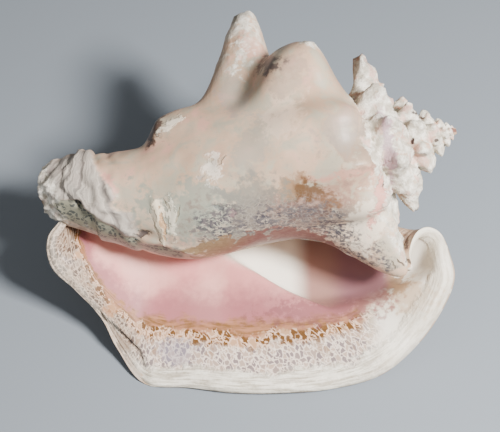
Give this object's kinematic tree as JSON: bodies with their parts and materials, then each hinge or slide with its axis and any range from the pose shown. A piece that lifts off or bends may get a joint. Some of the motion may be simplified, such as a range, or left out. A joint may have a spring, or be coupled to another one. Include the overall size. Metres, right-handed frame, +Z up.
{
  "type": "conch_shell",
  "caption": "Queen conch shell, 22 cm, flared pink lip with a thick white rim, blunt spines and a short spire",
  "frame": {"origin": "centre of the shell's bounding box on the floor it rests on", "axes": "+Z up from the floor, +X towards the spire, +Y away from the mouth's lip"},
  "size_m": [0.2172, 0.1782, 0.1319],
  "materials": {
    "shell": "satin"
  },
  "bodies": {
    "root": {"shell": "shell"}
  },
  "joints": []
}
